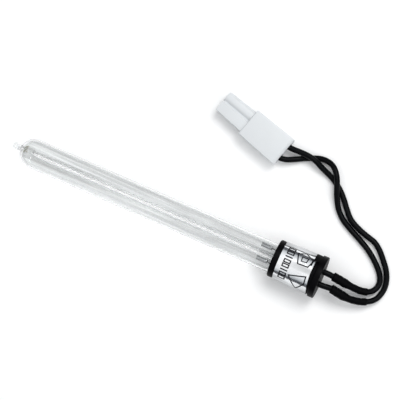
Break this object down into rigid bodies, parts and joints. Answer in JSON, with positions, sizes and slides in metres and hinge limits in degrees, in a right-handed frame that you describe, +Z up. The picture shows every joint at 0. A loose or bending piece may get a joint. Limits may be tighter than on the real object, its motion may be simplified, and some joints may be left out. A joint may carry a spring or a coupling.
{
  "type": "uv clarifier lamp",
  "caption": "U-shaped ultraviolet lamp of a pond or aquarium clarifier: quartz tube in a round labelled cap, with insulated leads, sleeved splices and a small white plug.",
  "frame": {"origin": "under the middle of the lamp (quartz tube and cap, without leads and plug), on the surface it lies on", "axes": "+X along the lamp towards its cap, +Z up from the surface, +Y to the side on which the plug lies"},
  "size_m": [0.1371, 0.0532, 0.0149],
  "materials": {
    "quartz": "clear drawn quartz",
    "nickel": "bright drawn nickel",
    "black_moulding": "black moulded plastic, satin",
    "foil": "silver foil label with dark print",
    "potting_resin": "cast resin",
    "lead_insulation": "black extruded insulation, satin",
    "shrink_sleeve": "black heat-shrink sleeve, matt",
    "tinned_copper": "tin plated copper",
    "nylon": "natural white moulded nylon"
  },
  "bodies": {
    "root": {"quartz_tube": "quartz", "end_bead_a": "quartz", "end_bead_b": "quartz", "electrode_cup_a": "nickel", "electrode_cup_b": "nickel", "lead_in_wire_a": "nickel", "lead_in_wire_b": "nickel", "front_collar": "black_moulding", "cap_shell": "black_moulding", "foil_label": "foil", "rear_flange": "black_moulding", "potting_block": "potting_resin", "lamp_lead_a": "lead_insulation", "lamp_lead_b": "lead_insulation", "splice_ferrule_a": "tinned_copper", "splice_ferrule_b": "tinned_copper", "shrink_sleeve_a": "shrink_sleeve", "shrink_sleeve_b": "shrink_sleeve", "plug_lead_a": "lead_insulation", "plug_lead_b": "lead_insulation", "connector_housing": "nylon", "contact_a": "tinned_copper", "contact_b": "tinned_copper", "stripped_core_a": "tinned_copper", "stripped_core_b": "tinned_copper"}
  },
  "joints": []
}
